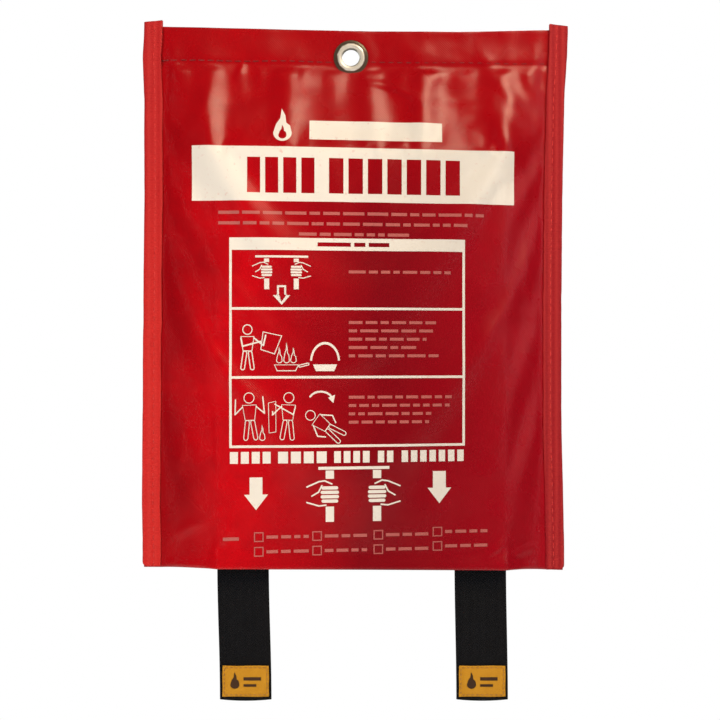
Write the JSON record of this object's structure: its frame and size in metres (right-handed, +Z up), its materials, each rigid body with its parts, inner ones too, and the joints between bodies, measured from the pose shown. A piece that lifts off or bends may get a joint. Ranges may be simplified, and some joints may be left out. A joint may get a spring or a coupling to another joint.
{
  "type": "fire blanket",
  "caption": "Folded fire blanket in a flat soft hanging pouch, open at the bottom, with two webbing pull tabs that draw the blanket out downwards.",
  "frame": {"origin": "centre of the hanging eyelet, in the plane of the wall behind the pouch", "axes": "+Z up along the pouch's height, +X to the right seen from the front, +Y back towards the wall"},
  "size_m": [0.206, 0.0153, 0.328],
  "materials": {
    "pouch_cloth": "gloss",
    "binding_tape": "matte",
    "seam_thread": "matte",
    "eyelet_nickel": "polished",
    "glass_cloth": "satin",
    "webbing": "matte",
    "tab_thread": "matte",
    "label_cloth": "satin"
  },
  "bodies": {
    "pouch": {"front_panel": "pouch_cloth", "back_panel": "pouch_cloth", "left_edge_binding": "binding_tape", "right_edge_binding": "binding_tape", "hem_stitching_front_left": "seam_thread", "hem_stitching_front_right": "seam_thread", "hem_stitching_back_left": "seam_thread", "hem_stitching_back_right": "seam_thread", "left_binding_stitching_front": "seam_thread", "left_binding_stitching_back": "seam_thread", "right_binding_stitching_front": "seam_thread", "right_binding_stitching_back": "seam_thread", "eyelet_barrel": "eyelet_nickel", "eyelet_washer": "eyelet_nickel"},
    "blanket": {"folded_blanket": "glass_cloth", "left_tab_root": "webbing", "right_tab_root": "webbing", "left_tab_box_stitching": "tab_thread", "right_tab_box_stitching": "tab_thread"},
    "left_tab": {"left_tab_webbing": "webbing", "left_tab_label": "label_cloth", "left_label_stitching": "tab_thread"},
    "right_tab": {"right_tab_webbing": "webbing", "right_tab_label": "label_cloth", "right_label_stitching": "tab_thread"}
  },
  "joints": [
    {"name": "blanket_slide", "type": "slide", "parent": "pouch", "child": "blanket", "axis": [0, 0, -1], "range_m": [0, 0.206]},
    {"name": "left_tab_swing", "type": "hinge", "parent": "blanket", "child": "left_tab", "pos_m": [-0.0523, -0.00916, -0.2458], "axis": [-1, 0, 0], "range_deg": [-7, 50]},
    {"name": "right_tab_swing", "type": "hinge", "parent": "blanket", "child": "right_tab", "pos_m": [0.0627, -0.00916, -0.2458], "axis": [-1, 0, 0], "range_deg": [-7, 50]}
  ]
}
